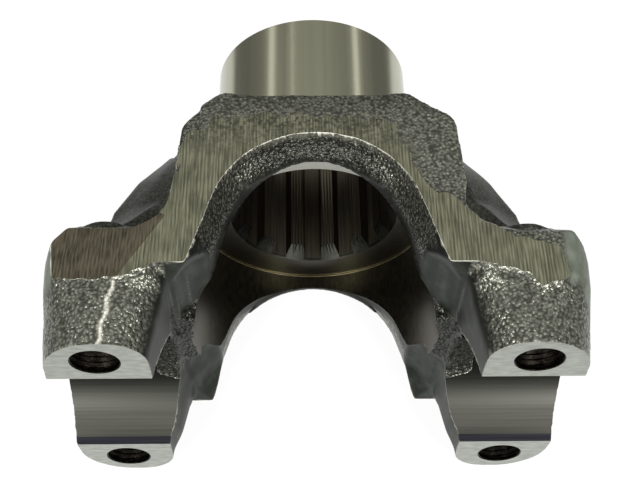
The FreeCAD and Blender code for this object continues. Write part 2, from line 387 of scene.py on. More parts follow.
def ruled_steel(name, colours, roughness, bump_mm, metallic):
    material, tree = new_material(name)
    place = add_node(tree, "ShaderNodeTexCoord")
    here = {"Vector": place.outputs["Object"]}
    stretch = add_node(tree, "ShaderNodeMapping", {"Scale": (1.0, 0.06, 1.0)}, here)
    lines = add_node(tree, "ShaderNodeTexWave", {
        "bands_direction": "X",
        "Scale": wave_periods / (line_pitch_mm * MM),
        "Distortion": 5.0,
        "Detail": 3.0,
        "Detail Scale": 0.9,
    }, {"Vector": stretch.outputs[0]})
    streaks = line_noise(tree, "Y", 0.32, 16.0, 3.0)
    settings = {"Scale": 1.0 / (patch_mm * MM), "Detail": 3.0}
    patches = add_node(tree, "ShaderNodeTexNoise", settings, here)
    shallow = spread(tree, lines.outputs["Fac"], 0.72, 1.0, 0.0, 1.0)
    mixed = calculate(tree, "MULTIPLY", shallow.outputs[0], streaks.outputs["Fac"])
    lifted = calculate(tree, "MULTIPLY_ADD", patches.outputs["Fac"], patch_share, mixed)
    colour = ramp(tree, lifted, [(0.44, colours[0]), (0.62, colours[1]), (0.82, colours[2])])
    parts = add_node(tree, "ShaderNodeSeparateXYZ", links=here)
    crown = spread(tree, parts.outputs["Y"], 0.0, 1.0, crown_start * MM, crown_end * MM)
    settings = {"Scale": 1.0 / (pit_mm * MM), "Detail": 2.0}
    pits = add_node(tree, "ShaderNodeTexNoise", settings, here)
    deep_pits = spread(tree, pits.outputs["Fac"], 0.0, 0.85, 0.45, 0.62)
    pitted = calculate(tree, "MULTIPLY", deep_pits.outputs[0], crown.outputs[0])
    mottled = mix_colour(tree, pitted, colour.outputs[0], pit_colour)
    rough = spread(tree, mixed, roughness[0], roughness[1], 0.0, 0.7)
    bump = add_node(tree, "ShaderNodeBump", {"Distance": bump_mm * MM}, {"Height": mixed})
    links = {"Base Color": mottled, "Roughness": rough.outputs[0], "Normal": bump.outputs[0]}
    shader = add_node(tree, "ShaderNodeBsdfPrincipled", {"Metallic": metallic}, links)
    finish_material(tree, shader)
    return material


sheared_flat = ruled_steel(
    "sheared steel flat", ("#5e5f50", "#7f7f6b", "#a2a18a"), (0.5, 0.42), 0.02, 0.9)
# Painted shade: the facet is a darker brown copy of the flat's colours.
shaded_facet = ruled_steel(
    "sheared steel facet in darker painted shade", ("#403c32", "#5d5748", "#706957"), (0.55, 0.48), 0.02, 0.8)

# %% [markdown]
# ## The blank
#
# A copy of the solid is the start, in millimetres. Plugs fill the bore and the bolt holes, which
# the forging doesn't have yet, and a voxel remesh turns everything into one even skin of small
# faces that can take the blasted texture.

# %% Blank from the solid
voxel_size = 0.45
plug_radius = 19.0
bolt_plug_radius = 5.2
bolt_plug_depth = 26.0

solid_mesh = frame["nodes"]["yoke_flange"].data.copy()
solid_mesh.transform(Matrix.Scale(1.0 / MM, 4))
blank = bpy.data.objects.new("forged_yoke", solid_mesh)
bpy.context.scene.collection.objects.link(blank)
solid_mesh.materials.clear()

plugs = [lathe("bore_plug", [
    (0.0, nut_seat_depth - overrun),
    (plug_radius, nut_seat_depth - overrun),
    (plug_radius, hub_end_depth - 2.0),
    (0.0, hub_end_depth - 2.0),
], 48)]
for side_x in (-1, 1):
    for side_z in (-1, 1):
        plugs.append(lathe("bolt_plug", [
            (0.0, 0.0),
            (bolt_plug_radius, 0.0),
            (bolt_plug_radius, bolt_plug_depth),
            (0.0, bolt_plug_depth),
        ], 24, centre=(side_x * bolt_half_x, side_z * bolt_half_z)))

work = bmesh.new()
work.from_mesh(blank.data)
for plug in plugs:
    work.from_mesh(plug.data)
    bpy.data.objects.remove(plug)
bmesh.ops.remove_doubles(work, verts=work.verts, dist=0.0005)
work.to_mesh(blank.data)
work.free()

remesh = blank.modifiers.new("even skin", "REMESH")
remesh.mode = "VOXEL"
remesh.voxel_size = voxel_size
apply_modifiers(blank)
print("blank points:", len(blank.data.vertices))

# %% [markdown]
# ## Machining stock
#
# A forging is thicker than the finished part wherever a tool will cut it. So the points near the
# end faces, the saddles, the nut seat and the flats are moved out into the tool's way. Along the
# edges of the flats the stock is missing, as on the real one: there the shear cut nothing and the
# rough skin stays.
#
# The two dies never close quite in line, so some of the forging's sides lie up to about a
# millimetre beside the drawing. The last lines of the cell give the blank that mismatch, where
# the photo shows it.

# %% Leave stock for the tools
reach = 0.45
end_stock = 1.0
saddle_stock = 0.9
seat_stock = 1.0
wall_stock = 0.8
hub_stock = 1.0
flat_stock = 1.2
flat_want = 0.35
crown_want = 0.12
flat_base = flat_height - 1.2
lip_reach = 0.9
right_swell = 1.1
left_swell = 0.8
left_shift = 0.4
right_ear_back_push = 0.7
root_corner_push = 0.9
right_arm_push = 0.9
left_arm_push = 1.1


def inside_polygon(x, y, corners):
    """Signed distance to a polygon's edge in the plan, above zero inside it."""
    nearest = np.full(len(x), 1e9)
    inside = np.zeros(len(x), dtype=bool)
    for place, (bx, by) in enumerate(corners):
        ax, ay = corners[place - 1]
        length = (bx - ax) ** 2 + (by - ay) ** 2
        share = np.clip(((x - ax) * (bx - ax) + (y - ay) * (by - ay)) / length, 0.0, 1.0)
        gap = np.hypot(x - ax - share * (bx - ax), y - ay - share * (by - ay))
        nearest = np.minimum(nearest, gap)
        crosses = ((ay > y) != (by > y)) & (x < (bx - ax) * (y - ay) / (by - ay + 1e-9) + ax)
        inside ^= crosses
    return np.where(inside, nearest, -nearest)


crease_start = (-27.2, 25.3)
crease_end = (-36.5, 10.0)
facet_slope = math.radians(11.0)
facet_skin = 0.15
right_lug_flat = [
    (25.0, 14.0), (31.9, 15.3), (36.9, 13.2), (39.3, 11.0), (43.7, 11.6),
    (42.9, 18.7), (39.5, 20.2), (34.3, 21.5), (29.2, 24.1), (24.0, 30.0), (17.0, 28.0),
]
arch_flat = [
    (-27.5, 15.4), (-27.0, 28.0), (-25.4, 42.0), (-19.0, 46.0), (-12.0, 47.2), (11.0, 47.0),
    (15.0, 43.0), (19.4, 33.0), (24.0, 27.0), (27.0, 14.0), (0.0, 10.0),
]
left_lug_flat = [
    (-54.0, 13.6), (-54.0, 30.0), (-22.0, 30.0), (-22.0, 15.6), (-27.5, 15.4),
    (-30.0, 14.6), (-33.0, 13.4), (-35.6, 12.6), (-37.0, 13.0),
]

points = get_points(blank)
x, y, z = points.T.copy()
from_trunnion = np.hypot(y, z)
from_hub = np.hypot(x, z)

near_saddle = (from_trunnion < saddle_radius + reach) & (y < saddle_radius + reach)
on_saddle = near_saddle & (np.abs(x) > 25.5)
saddle_pull = saddle_stock * fade(np.abs(x), 25.5, 27.0)
shrink = np.where(on_saddle, 1.0 - saddle_pull / np.maximum(from_trunnion, 1.0), 1.0)
y = y * shrink
z = z * shrink

on_wall = (np.abs(from_hub - nut_wall_radius) < reach) & (y > 14.0) & (y < nut_seat_depth - 0.5)
on_shoulder = (from_hub < hub_shoulder_radius + reach) & (y > nut_seat_depth + 8.0)
pull = np.where(on_wall, wall_stock, 0.0)
pull = np.where(on_shoulder, hub_stock * fade(y, 52.5, 54.0), pull)
x = x * (1.0 - pull / np.maximum(from_hub, 1.0))
z = z * (1.0 - pull / np.maximum(from_hub, 1.0))
on_seat = (np.abs(y - nut_seat_depth) < reach) & (from_hub < nut_wall_radius)
y = np.where(on_seat, y - seat_stock, y)

y = y - end_stock * (1.0 - fade(y, 0.0, 1.6))

on_lip = (y > 36.0) & (y < nut_seat_depth) & (np.abs(x) < 20.0)
y = np.where(on_lip, y - lip_reach * (1.0 - fade(np.abs(np.abs(z) - 25.0), 0.8, 2.4)), y)

low_part = 1.0 - fade(np.abs(z), 18.0, 24.0)
x = x + right_swell * fade(x, 21.0, 25.0) * fade(y, 27.0, 34.0)
x = x - left_swell * low_part * fade(-x, 21.0, 26.0) * fade(y, 27.0, 34.0)
x = x + left_shift * (1.0 - low_part) * fade(-x, 21.0, 25.0) * fade(y, 30.0, 36.0)
x = x + left_shift * fade(-x, 44.0, 48.0) * fade(y, 3.0, 10.0)

wander = np.array([noise.noise(Vector((px * 0.45, py * 0.45, 3.0))) for px, py in zip(x, y)])
islands = np.array([noise.noise(Vector((px * 1.1, py * 1.1, 9.0))) for px, py in zip(x, y)])
clean_top = np.maximum.reduce([
    inside_polygon(x, y, right_lug_flat),
    inside_polygon(x, y, arch_flat),
    inside_polygon(x, y, left_lug_flat),
])
ragged = fade(y, 33.0, 41.0)
clean = clean_top + (0.9 + 1.4 * ragged) * wander + (0.4 + 2.2 * ragged) * islands
missing = flat_want + (crown_want - flat_want) * ragged
stock = -missing + (flat_stock + missing) * fade(clean, -0.6, 0.8)
above = np.maximum(np.abs(z) - flat_base, 0.0)
flat_rise = flat_height - flat_base
z = np.sign(z) * (np.minimum(np.abs(z), flat_base) + above * (flat_rise + stock) / flat_rise)

crease_turn = math.atan2(crease_start[1] - crease_end[1], crease_start[0] - crease_end[0])
along_y = math.cos(crease_turn) * (y - crease_end[1])
beyond_crease = along_y - math.sin(crease_turn) * (x - crease_end[0])
facet_height = flat_height - math.tan(facet_slope) * beyond_crease
uncut = (z > 0.0) & (beyond_crease > 0.0) & (x < -22.0) & (clean < 0.2)
z = np.where(uncut, np.minimum(z, facet_height - facet_skin), z)

y = y - right_ear_back_push * fade(x, 33.0, 37.0) * fade(y, 17.0, 21.0)
y = y + root_corner_push * fade(y, 47.0, 54.0) * fade(np.abs(x), 12.0, 19.0)
right_arm = right_arm_push * fade(-z, 2.0, 10.0)
left_arm = -left_arm_push * fade(-z, 12.0, 20.0)
low_end = np.where(x > 0.0, right_arm, left_arm)
low_end = low_end * (1.0 - fade(np.abs(x), 27.0, 32.0))
x = x - low_end * fade(y, 1.0, 6.0) * (1.0 - fade(y, 17.0, 23.0))
set_points(blank, np.stack([x, y, z], axis=1))
print("points on the saddles:", int(on_saddle.sum()), "on the nut wall:", int(on_wall.sum()))

# %% [markdown]
# ## The blasted skin
#
# First the blank is smoothed, because dies don't leave corners as sharp as a drawing. Then the
# skin gets its pebbles: forge scale and steel shot leave dents of about a millimetre. The pads
# between the scoops are the roughest. The throat's wall and the scoops stay smooth, and so do
# the drafted outer sides, where the trimming die passed.

# %% Pebbles in the skin
pebble_height = 0.08
pebble_size = 0.9
pad_height = 2.2
swell_height = 0.10
swell_size = 4.5

smooth = blank.modifiers.new("soft corners", "SMOOTH")
smooth.factor = 0.5
smooth.iterations = 4
apply_modifiers(blank)

points = get_points(blank)
normals = get_normals(blank)
x, y, z = points.T
faces_in = (x * normals[:, 0] + np.maximum(y - throat_centre, 0.0) * normals[:, 1]) < 0.0
waist = faces_in & (np.abs(z) < waist_height + 2.5) & (np.abs(x) < 30.0) & (y > 4.0)
from_scoop = np.hypot(np.abs(x) - scoop_x, y - scoop_depth)
scooped = (from_scoop < scoop_radius + 0.8) & (np.abs(z) > scoop_foot + 0.4)
inner_fade = np.where((np.abs(x) < 33.0) & (y < 16.0), fade(np.abs(normals[:, 0]), 0.8, 0.95), 0.0)
pad = (np.abs(z) < scoop_foot + 1.4) & (np.abs(x) < pad_reach) & (y < 20.0)
faces_out = np.abs(normals[:, 0]) + 0.05 * (y - 10.0)
outer_side = fade(np.abs(x), 42.5, 44.0) * fade(faces_out, 0.72, 0.85)
outer_side = np.maximum(outer_side, fade(x, 43.0, 44.2) * fade(y, 10.6, 12.6) * (z > 0.0))
outer_side = outer_side * np.where(x < 0.0, fade(y, 10.0, 13.5), 1.0)
shoulder = (y > 24.0) & (np.abs(x) > 25.0) & (np.abs(z) < 28.5)
band_end = waist_height + 2.0 - 5.0 * fade(np.abs(x), 12.0, 19.0)
blasted = np.where(waist, fade(np.abs(z), band_end - 2.0, band_end + 0.5), 1.0)
blasted = np.where(scooped, 0.0, blasted * (1.0 - inner_fade))
blasted = np.where(pad, 1.0, blasted)
blasted = np.where(shoulder, 0.2, blasted)
blasted = blasted * (1.0 - outer_side)
# Painted shade: this marks the scoops and the inner sides by the saddles, which the skin's material
# paints nearly black.
scoop_shade = np.where(scooped, 1.0, fade(inner_fade, 0.0, 0.3) * fade(np.abs(x), 25.5, 28.0))
scoop_shade = np.where(pad, 0.0, scoop_shade)
bell = faces_in & (np.abs(x) < 27.0) & (y > 12.0) & (np.abs(z) < 28.8)
# Painted shade: the bell mouth, the pads and the root end are marked to be painted darker.
painted_shade_mask = np.where(bell, 1.0 - 0.6 * fade(np.abs(x), 8.0, 17.0), 0.35 * fade(y, 46.0, 52.0))
painted_shade_mask = np.where(pad, 0.95, painted_shade_mask)

height = np.empty(len(points))
for place, (px, py, pz) in enumerate(points):
    here = Vector((px, py, pz))
    cells = noise.voronoi(here / pebble_size)[0]
    swell = noise.noise(here / swell_size)
    height[place] = pebble_height * (1.0 - 2.0 * min(cells[0], 1.0)) + swell_height * swell
points = points + normals * (height * blasted * np.where(pad, pad_height, 1.0))[:, None]

# A burr runs down the front of the left ear, where the sheared facet and the flat meet; its pale
# colour later is a painted highlight.
burr_x = -37.0
burr_slant = 0.13
burr_half_width = 0.55
burr_height = 0.3
on_burr = (z > 20.0) & (y < 12.0) & (y > -0.9)
burr_gap = np.abs(x - burr_x - burr_slant * y - 0.25 * np.sin(y * 1.3))
burr = np.where(on_burr, 1.0 - fade(burr_gap, 0.0, burr_half_width), 0.0)
points = points + normals * (burr_height * burr)[:, None]
set_points(blank, points)
print("pebble height from", round(height.min(), 2), "to", round(height.max(), 2), "mm")

# %% [markdown]
# The blank is now thinned out. The decimate modifier drops the faces that matter least, and the
# cuts that follow leave clean edges in what remains.

# %% Thin the skin out
skin_budget = 150000
skin_faces = len(blank.data.polygons) * 2
thin = blank.modifiers.new("thin out", "DECIMATE")
thin.ratio = min(1.0, skin_budget / skin_faces)
apply_modifiers(blank)
print("skin triangles:", skin_faces, "->", len(blank.data.polygons))

# %% [markdown]
# ## The cutting tools
#
# Each tool is a closed solid that carries the finish it leaves, and the Boolean modifier hands that
# finish to the faces that it cuts. The Manifold solver is quick and exact, but it needs closed
# solids, which is why the blank was remeshed first.

# %% Skin material slot and the cut


def cut(piece, tool, finish, operation="DIFFERENCE"):
    """One machining step: the tool goes through the piece and leaves its finish."""
    tool.data.materials.clear()
    tool.data.materials.append(finish)
    step = piece.modifiers.new("cut", "BOOLEAN")
    step.operation = operation
    step.solver = "MANIFOLD"
    step.material_mode = "TRANSFER"
    step.object = tool
    apply_modifiers(piece)
    bpy.data.objects.remove(tool)
    print(operation.lower(), finish.name, "->", len(piece.data.polygons), "faces")


def block(name, low, high):
    """Closed box between two corners."""
    corners = list(product(*zip(low, high)))
    faces = [(0, 1, 3, 2), (4, 6, 7, 5), (0, 4, 5, 1), (2, 3, 7, 6), (0, 2, 6, 4), (1, 5, 7, 3)]
    solid = mesh_object(name, corners, faces)
    outward(solid)
    return solid


forged_skin, skin_tree = new_material("shot blasted steel forging with painted light and shade")
blank.data.materials.append(forged_skin)

# %% [markdown]
# The two flats are sheared first. On the left ear the shear's second stroke came in at a slope of
# eleven degrees, so a facet falls away outside a slanting crease, and it is painted a darker brown
# as painted shade.

# %% Shear the flats and the left facet
far = 140.0
for side in (-1, 1):
    low = (-far, -far, flat_height if side > 0 else -far)
    high = (far, far, far if side > 0 else -flat_height)
    cut(blank, block("shear", low, high), sheared_flat)

facet_turn = Matrix.Rotation(crease_turn, 4, "Z") @ Matrix.Rotation(-facet_slope, 4, "X")
facet_place = Matrix.Translation((*crease_end, flat_height)) @ facet_turn
crease_length = math.dist(crease_start, crease_end)
shear = block("second_stroke", (-60.0, 0.0, 0.0), (crease_length, 60.0, 20.0))
shear.data.transform(facet_place)
cut(blank, shear, shaded_facet)

# %% [markdown]
# The end faces are milled square to the hub's axis, and the two saddles are bored in one pass, with
# a lead and broken edges for the bearing cups.

# %% Mill the ends and bore the saddles
saddle_steps = 128
saddle_start = 28.6
ear_slant = 0.19

cut(blank, block("end_mill", (-far, -far, -far), (far, 0.0, far)), milled_face)
for side in (-1, 1):
    bar = lathe("saddle_bar", [
        (0.0, side * saddle_start),
        (saddle_radius, side * saddle_start),
        (saddle_radius, side * far),
        (0.0, side * far),
    ], saddle_steps, along="X")
    ends = get_points(bar)
    beside_pad = 1.0 - fade(np.abs(ends[:, 2]), 8.0, 9.8)
    slanted = saddle_start - ear_slant * np.maximum(ends[:, 1], 0.0)
    start = slanted * (1.0 - beside_pad) + pad_reach * beside_pad
    inner_ring = (np.abs(ends[:, 0]) < far - 1.0) & (ends[:, 1] ** 2 + ends[:, 2] ** 2 > 1.0)
    ends[:, 0] = np.where(inner_ring, side * start, ends[:, 0])
    set_points(bar, ends)
    cut(blank, bar, bored_steel)

lead_edge = saddle_radius + saddle_edge_break
lead_half = math.sqrt(saddle_radius ** 2 - saddle_lead_depth ** 2)
lead_points = []
for x in (-far, far):
    for y, z in [(-overrun, -lead_edge), (0.0, -lead_edge), (saddle_lead_depth, -lead_half),
                 (saddle_lead_depth, lead_half), (0.0, lead_edge), (-overrun, lead_edge)]:
        lead_points.append((x, y, z))
lead_faces = [tuple(range(6)), tuple(range(11, 5, -1))]
lead_faces += [(place, (place + 1) % 6, 6 + (place + 1) % 6, 6 + place) for place in range(6)]
lead = mesh_object("saddle_lead", lead_points, lead_faces)
outward(lead)
cut(blank, lead, broken_edge)


# %% [markdown]
# The nut seat is spot-faced from the throat's side. Its cutter also leaves the cylindrical wall,
# painted dark as painted shade, and between the two a narrow corner painted pale as a painted
# highlight, so it is cut in three steps. The hub is turned and ground, so it is added as a true
# solid of revolution.

# %% Face the nut seat and add the hub
nut_steps = 144
hub_steps = 144
face_cut = 0.1
corner_width = 0.3

for start, end, finish in [
    (nut_wall_start, nut_seat_depth - corner_width, turned_wall),
    (nut_seat_depth - corner_width - face_cut, nut_seat_depth - face_cut, corner_highlight),
    (nut_seat_depth - 2.0 * face_cut, nut_seat_depth, faced_seat),
]:
    cut(blank, lathe("spot_face", [
        (0.0, start),
        (nut_wall_radius, start),
        (nut_wall_radius, end),
        (0.0, end),
    ], nut_steps), finish)
cut(blank, lathe("rough_hub", [
    (0.0, root_end_depth), (40.0, root_end_depth), (40.0, 100.0), (0.0, 100.0),
], hub_steps), faced_seat)
cut(blank, lathe("ground_hub", [
    (0.0, nut_seat_depth + 2.0),
    (hub_shoulder_radius, nut_seat_depth + 2.0),
    (hub_shoulder_radius, hub_shoulder_depth - 0.6),
    (hub_shoulder_radius - 0.6, hub_shoulder_depth),
    (hub_radius, hub_shoulder_depth),
    (hub_radius, hub_end_depth - hub_edge_chamfer),
    (hub_radius - hub_edge_chamfer, hub_end_depth),
    (0.0, hub_end_depth),
], hub_steps), ground_steel, "UNION")

# %% [markdown]
# A broach pulls the fourteen straight splines. The tool's section is one outline of gaps and teeth,
# drawn out along the hub's axis, and a countersink opens the bore's mouth.

# %% Broach the bore
pitch = 2.0 * math.pi / spline_teeth
arc_steps = 4
outline = []
for tooth in range(spline_teeth):
    middle = -math.pi / 2.0 + tooth * pitch
    root_half = pitch * (1.0 - tooth_root_share) / 2.0
    tip_half = pitch * (1.0 - tooth_tip_share) / 2.0
    for step in range(arc_steps + 1):
        angle = middle - root_half + 2.0 * root_half * step / arc_steps
        outline.append((tooth_root_radius, angle))
    for step in range(arc_steps + 1):
        angle = middle + tip_half + (pitch - 2.0 * tip_half) * step / arc_steps
        outline.append((tooth_tip_radius, angle))
count = len(outline)
broach_points = []
for depth in (nut_seat_depth - overrun, hub_end_depth + overrun):
    for radius, angle in outline:
        broach_points.append((radius * math.cos(angle), depth, radius * math.sin(angle)))
broach_faces = [tuple(range(count)), tuple(range(2 * count - 1, count - 1, -1))]
broach_faces += [(p, (p + 1) % count, count + (p + 1) % count, count + p) for p in range(count)]
broach = mesh_object("broach", broach_points, broach_faces)
outward(broach)
cut(blank, broach, broached_steel)

mouth_slope = (bore_mouth_radius - tooth_tip_radius) / bore_chamfer_length
cut(blank, lathe("countersink", [
    (0.0, nut_seat_depth - overrun),
    (bore_mouth_radius + overrun * mouth_slope, nut_seat_depth - overrun),
    (tooth_tip_radius, nut_seat_depth + bore_chamfer_length),
    (0.0, nut_seat_depth + bore_chamfer_length),
], nut_steps), countersunk)

# %% [markdown]
# The strap-bolt holes are drilled, countersunk and tapped. A tap is a cutter whose crests and roots
# wind round it as two helices, so the thread is built as one strip that joins them turn by turn.

# %% Drill and tap the strap-bolt holes
thread_pitch = 1.058
thread_radius = 4.76
thread_depth = 22.0
thread_steps = 32
thread_start = 0.1
mouth_radius = 4.5
drill_tip = 2.5


def tap(x, z):
    """Closed cutter with a helical thread, pointing along +Y."""
    turns = int((thread_depth + overrun) / thread_pitch)
    rows = 2 * turns
    points = [(x, -overrun - thread_pitch, z)]
    for row in range(rows + 1):
        for step in range(thread_steps):
            angle = 2.0 * math.pi * step / thread_steps
            depth = -overrun + thread_pitch * (row / 2.0 + step / thread_steps)
            fullness = min(max((depth - thread_start) / thread_pitch, 0.0), 1.0)
            radius = tap_radius + (thread_radius - tap_radius) * (row % 2) * fullness
            points.append((x + radius * math.cos(angle), depth, z + radius * math.sin(angle)))
    points.append((x, thread_depth + drill_tip + thread_pitch, z))
    last = len(points) - 1

    def at(row, step):
        if step == thread_steps:
            row, step = row + 2, 0
        return 1 + row * thread_steps + step

    faces = []
    for row in range(rows - 2):
        for step in range(thread_steps):
            faces.append((
                at(row, step), at(row + 1, step),
                at(row + 1, step + 1), at(row, step + 1),
            ))
    for step in range(thread_steps):
        faces.append((0, at(0, step), at(0, step + 1)))
        faces.append((last, at(rows - 2, step + 1), at(rows - 2, step)))
    faces.append((0, at(2, 0), at(1, 0)))
    faces.append((0, at(1, 0), at(0, 0)))
    solid = mesh_object("tap", points, faces)
    work = bmesh.new()
    work.from_mesh(solid.data)
    loose = [vert for vert in work.verts if not vert.link_faces]
    bmesh.ops.delete(work, geom=loose, context="VERTS")
    holes = [edge for edge in work.edges if edge.is_boundary]
    bmesh.ops.holes_fill(work, edges=holes, sides=0)
    bmesh.ops.triangulate(work, faces=[face for face in work.faces if len(face.verts) > 4])
    bmesh.ops.recalc_face_normals(work, faces=work.faces)
    work.to_mesh(solid.data)
    print("tap closed:", all(edge.is_manifold for edge in work.edges))
    work.free()
    return solid


for side_x in (-1, 1):
    for side_z in (-1, 1):
        x = side_x * bolt_half_x
        z = side_z * bolt_half_z
        cut(blank, tap(x, z), thread_steel)
        cut(blank, lathe("countersink", [
            (0.0, -overrun),
            (mouth_radius + overrun, -overrun),
            (tap_radius, mouth_radius - tap_radius),
            (0.0, mouth_radius - tap_radius),
        ], thread_steps, centre=(x, z)), thread_steel)

# %% [markdown]
# ## Marks that the skin carries
#
# Six point attributes tell the skin's material what happened where. "blasted" is 1 on pebbly skin
# and lower on smooth walls. "ground" marks the outer sides and "brushed" the low skin that the
# shear just touched. One more marks the scoops and one the bell mouth, the pads and the root end,
# both for painted shade, and the last is a painted highlight: 1 on the edges that a tool left sharp
# and on the burr, and lower where the skin stands back.

# %% Attributes for the skin
tree = KDTree(len(points))
for place, point in enumerate(points):
    tree.insert(point, place)
tree.balance()

mesh = blank.data
nearest = [tree.find(vertex.co)[1] for vertex in mesh.vertices]
skin_slot = mesh.materials.find(forged_skin.name)
on_skin = np.zeros(len(mesh.vertices), dtype=bool)
on_cut = np.zeros(len(mesh.vertices), dtype=bool)
shear_and_mill = (sheared_flat, shaded_facet, milled_face)
highlight_edge_slots = [mesh.materials.find(finish.name) for finish in (*shear_and_mill, bored_steel)]
for face in mesh.polygons:
    if face.material_index == skin_slot:
        on_skin[list(face.vertices)] = True
    elif face.material_index in highlight_edge_slots:
        on_cut[list(face.vertices)] = True
near_points = points[nearest]
near_height = np.abs(near_points[:, 2])
# Painted highlight: the edges where a cut meets the skin are painted pale, less so where the skin
# stands back.
at_ragged_edge = (near_height > flat_base - 2.2) & (clean[nearest] < 0.9)
edge_highlight_share = np.where(at_ragged_edge, 0.12, 1.0)
edge_highlight_share = np.where((near_height < 19.0) & (near_points[:, 1] < 20.0), 0.35, edge_highlight_share)
edge_highlight_share = np.where((near_height < 11.0) | (near_points[:, 1] < 1.0), 0.25, edge_highlight_share)
brushed = fade(clean, -3.5, 0.3) * ragged * (np.abs(points[:, 2]) > flat_base)
marks = {
    "brushed": brushed[nearest],
    "painted_shade_mask": painted_shade_mask[nearest],
    "blasted": blasted[nearest],
    "scoop_shade": scoop_shade[nearest],
    "ground": outer_side[nearest],
    "edge_highlight": np.maximum((on_skin & on_cut) * edge_highlight_share, burr[nearest]),
}
for name, values in marks.items():
    mesh.attributes.new(name, "FLOAT", "POINT").data.foreach_set("value", values.tolist())

mesh.shade_smooth()
mesh.set_sharp_from_angle(angle=math.radians(38.0))
plane_slots = [mesh.materials.find(finish.name) for finish in (*shear_and_mill, faced_seat)]
for face in mesh.polygons:
    face.use_smooth = face.material_index not in plane_slots
triangles = sum(len(face.vertices) - 2 for face in mesh.polygons)
print("finishes:", [material.name for material in mesh.materials], "triangles:", triangles)

# %% [markdown]
# ## The blasted forging's material
#
# Blasted steel is a dark metal with many small facets that each catch the light for themselves.
# Its brown-grey colour is painted lighter on the tops of the dents and darker in their hollows, as
# painted highlights and shade, and the bump carries the grit that is finer than the mesh. The
# smooth walls and the scoops are painted nearly black as painted shade, with less metal, the bell
# mouth, the pads and the root end are painted darker as painted shade, and the rims carry a pale
# painted highlight with less metal.

# %% Shot-blasted steel
grit_mm = 0.5
dent_mm = 0.62
stain_mm = 3.0
grit_bump_mm = 0.2

mark = {}
for name in ("blasted", "edge_highlight", "scoop_shade", "ground", "painted_shade_mask", "brushed"):
    attribute = add_node(skin_tree, "ShaderNodeAttribute", {"attribute_name": name})
    mark[name] = attribute.outputs["Fac"]
place_node = add_node(skin_tree, "ShaderNodeTexCoord")
here = {"Vector": place_node.outputs["Object"]}
settings = {"Scale": 1.0 / (grit_mm * MM), "Detail": 2.0}
grit = add_node(skin_tree, "ShaderNodeTexNoise", settings, here)
settings = {"Scale": 1.0 / (dent_mm * MM), "Randomness": 1.0}
dents = add_node(skin_tree, "ShaderNodeTexVoronoi", settings, here)
settings = {"Scale": 1.0 / (stain_mm * MM), "Detail": 5.0}
stain = add_node(skin_tree, "ShaderNodeTexNoise", settings, here).outputs["Fac"]
relief = calculate(skin_tree, "SUBTRACT", grit.outputs["Fac"], dents.outputs["Distance"])

# Painted highlight and shade: the tops of the dents are painted light and the hollows dark.
facets = spread(skin_tree, relief, 0.0, 1.0, -0.35, 0.45)
pebble_light_and_shade = ramp(skin_tree, facets.outputs[0], [
    (0.1, "#52534b"), (0.5, "#7a7b71"), (0.8, "#979889"), (1.0, "#b2b2a6")])
# Painted shade: the smooth walls and the scoops are painted nearly black.
wall_shade = ramp(skin_tree, stain, [(0.3, "#191a15"), (0.52, "#252721"), (0.7, "#383a33")])
scoop_shade_tone = ramp(skin_tree, stain, [(0.3, "#191c16"), (0.52, "#242821"), (0.7, "#353a32")])
ground_tone = ramp(skin_tree, stain, [(0.3, "#70766a"), (0.7, "#91978a")])
plain = mix_colour(skin_tree, mark["scoop_shade"], wall_shade.outputs[0], scoop_shade_tone.outputs[0])
plain = mix_colour(skin_tree, mark["ground"], plain, ground_tone.outputs[0])
# Painted shade: the marked places are multiplied darker.
shade_tone = ramp(skin_tree, mark["painted_shade_mask"], [(0.0, "#ffffff"), (1.0, "#747474")])
shaded_pebbles = mix_colour(skin_tree, 1.0, pebble_light_and_shade.outputs[0], shade_tone.outputs[0], "MULTIPLY")
patchy = calculate(skin_tree, "MULTIPLY_ADD", stain, 3.0, -1.1, clamp=True)
wiped = calculate(skin_tree, "MULTIPLY", patchy, mark["brushed"])
pebbles = mix_colour(skin_tree, wiped, shaded_pebbles, "#77776a")
body = mix_colour(skin_tree, mark["blasted"], plain, pebbles)
# Painted highlight: the marked rims and the burr are painted pale cream, with less metal.
highlighted = mix_colour(skin_tree, mark["edge_highlight"], body, "#f2f0e2")

unwiped = calculate(skin_tree, "SUBTRACT", mark["blasted"], wiped, clamp=True)
relief_height = calculate(skin_tree, "MULTIPLY", relief, unwiped)
settings = {"Distance": grit_bump_mm * MM}
grit_bump = add_node(skin_tree, "ShaderNodeBump", settings, {"Height": relief_height})
skin_rough = spread(skin_tree, mark["blasted"], 0.5, 0.34, 0.0, 1.0)
blasted_metal = spread(skin_tree, mark["blasted"], 0.78, 0.85, 0.0, 1.0)
skin_metal = spread(skin_tree, mark["edge_highlight"], 0.0, 0.35, 0.0, 1.0)
skin_tree.links.new(blasted_metal.outputs[0], skin_metal.inputs["To Min"])
skin_shader = add_node(skin_tree, "ShaderNodeBsdfPrincipled", links={
    "Metallic": skin_metal.outputs[0],
    "Base Color": highlighted,
    "Roughness": skin_rough.outputs[0],
    "Normal": grit_bump.outputs[0],
})
finish_material(skin_tree, skin_shader)

# %% [markdown]
# The piece goes back to metres and takes the place of the plain solid.

# %% Hand over to the frame
blank.data.transform(Matrix.Scale(MM, 4))
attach(blank, "root")
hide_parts("yoke_flange")

# %% [markdown]
# ## Floor, light and camera
#
# The part lies on one flat on a paper table. The paper glows a little where the camera or a
# mirror-like surface sees it, so the background stays white without more light on the steel. It is
# white round the part and grey further out, so that the hub mirrors something darker.

# %% Floor
floor_half = 1.5
floor_fade_reach = 0.3
glow_share = 0.9


